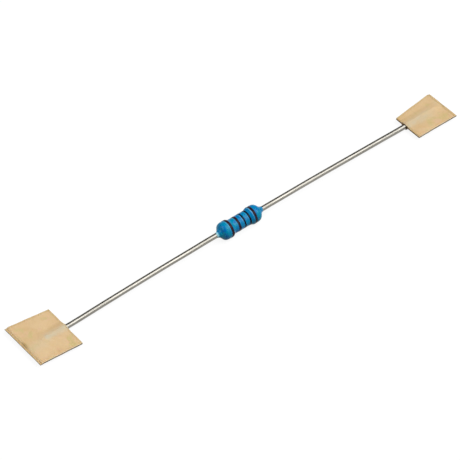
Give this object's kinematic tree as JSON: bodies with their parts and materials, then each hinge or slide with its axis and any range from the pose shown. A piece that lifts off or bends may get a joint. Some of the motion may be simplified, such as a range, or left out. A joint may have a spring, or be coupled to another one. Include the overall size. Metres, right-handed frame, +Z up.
{
  "type": "axial resistor",
  "caption": "Small blue axial film resistor with a rounded dog-bone body, colour code bands, straight tinned wire leads and a square of brown carrier tape on each lead end.",
  "frame": {"origin": "on the surface that it lies on, straight under the middle of the body", "axes": "+X along the body toward the first digit's band, +Y across it, +Z up from the surface"},
  "size_m": [0.0647, 0.0075, 0.0023],
  "materials": {
    "white_ceramic": "matt, fired",
    "resistive_film": "dark metallic film, cut by a helical slit",
    "cap_steel": "pressed and tinned",
    "tinned_wire": "bright tin on drawn copper",
    "blue_epoxy": "glossy, dipped",
    "brown_ink": "printed, slightly raised",
    "black_ink": "printed, slightly raised",
    "kraft_tape": "matt kraft paper, mottled"
  },
  "bodies": {
    "root": {"ceramic_core": "white_ceramic", "metal_film": "resistive_film", "end_cap_left": "cap_steel", "end_cap_right": "cap_steel", "lead_left": "tinned_wire", "lead_right": "tinned_wire", "epoxy_coat": "blue_epoxy", "first_digit_band": "brown_ink", "second_digit_band": "black_ink", "third_digit_band": "black_ink", "multiplier_band": "brown_ink", "tolerance_band": "brown_ink", "tape_left_upper": "kraft_tape", "tape_left_lower": "kraft_tape", "tape_right_upper": "kraft_tape", "tape_right_lower": "kraft_tape"}
  },
  "joints": []
}
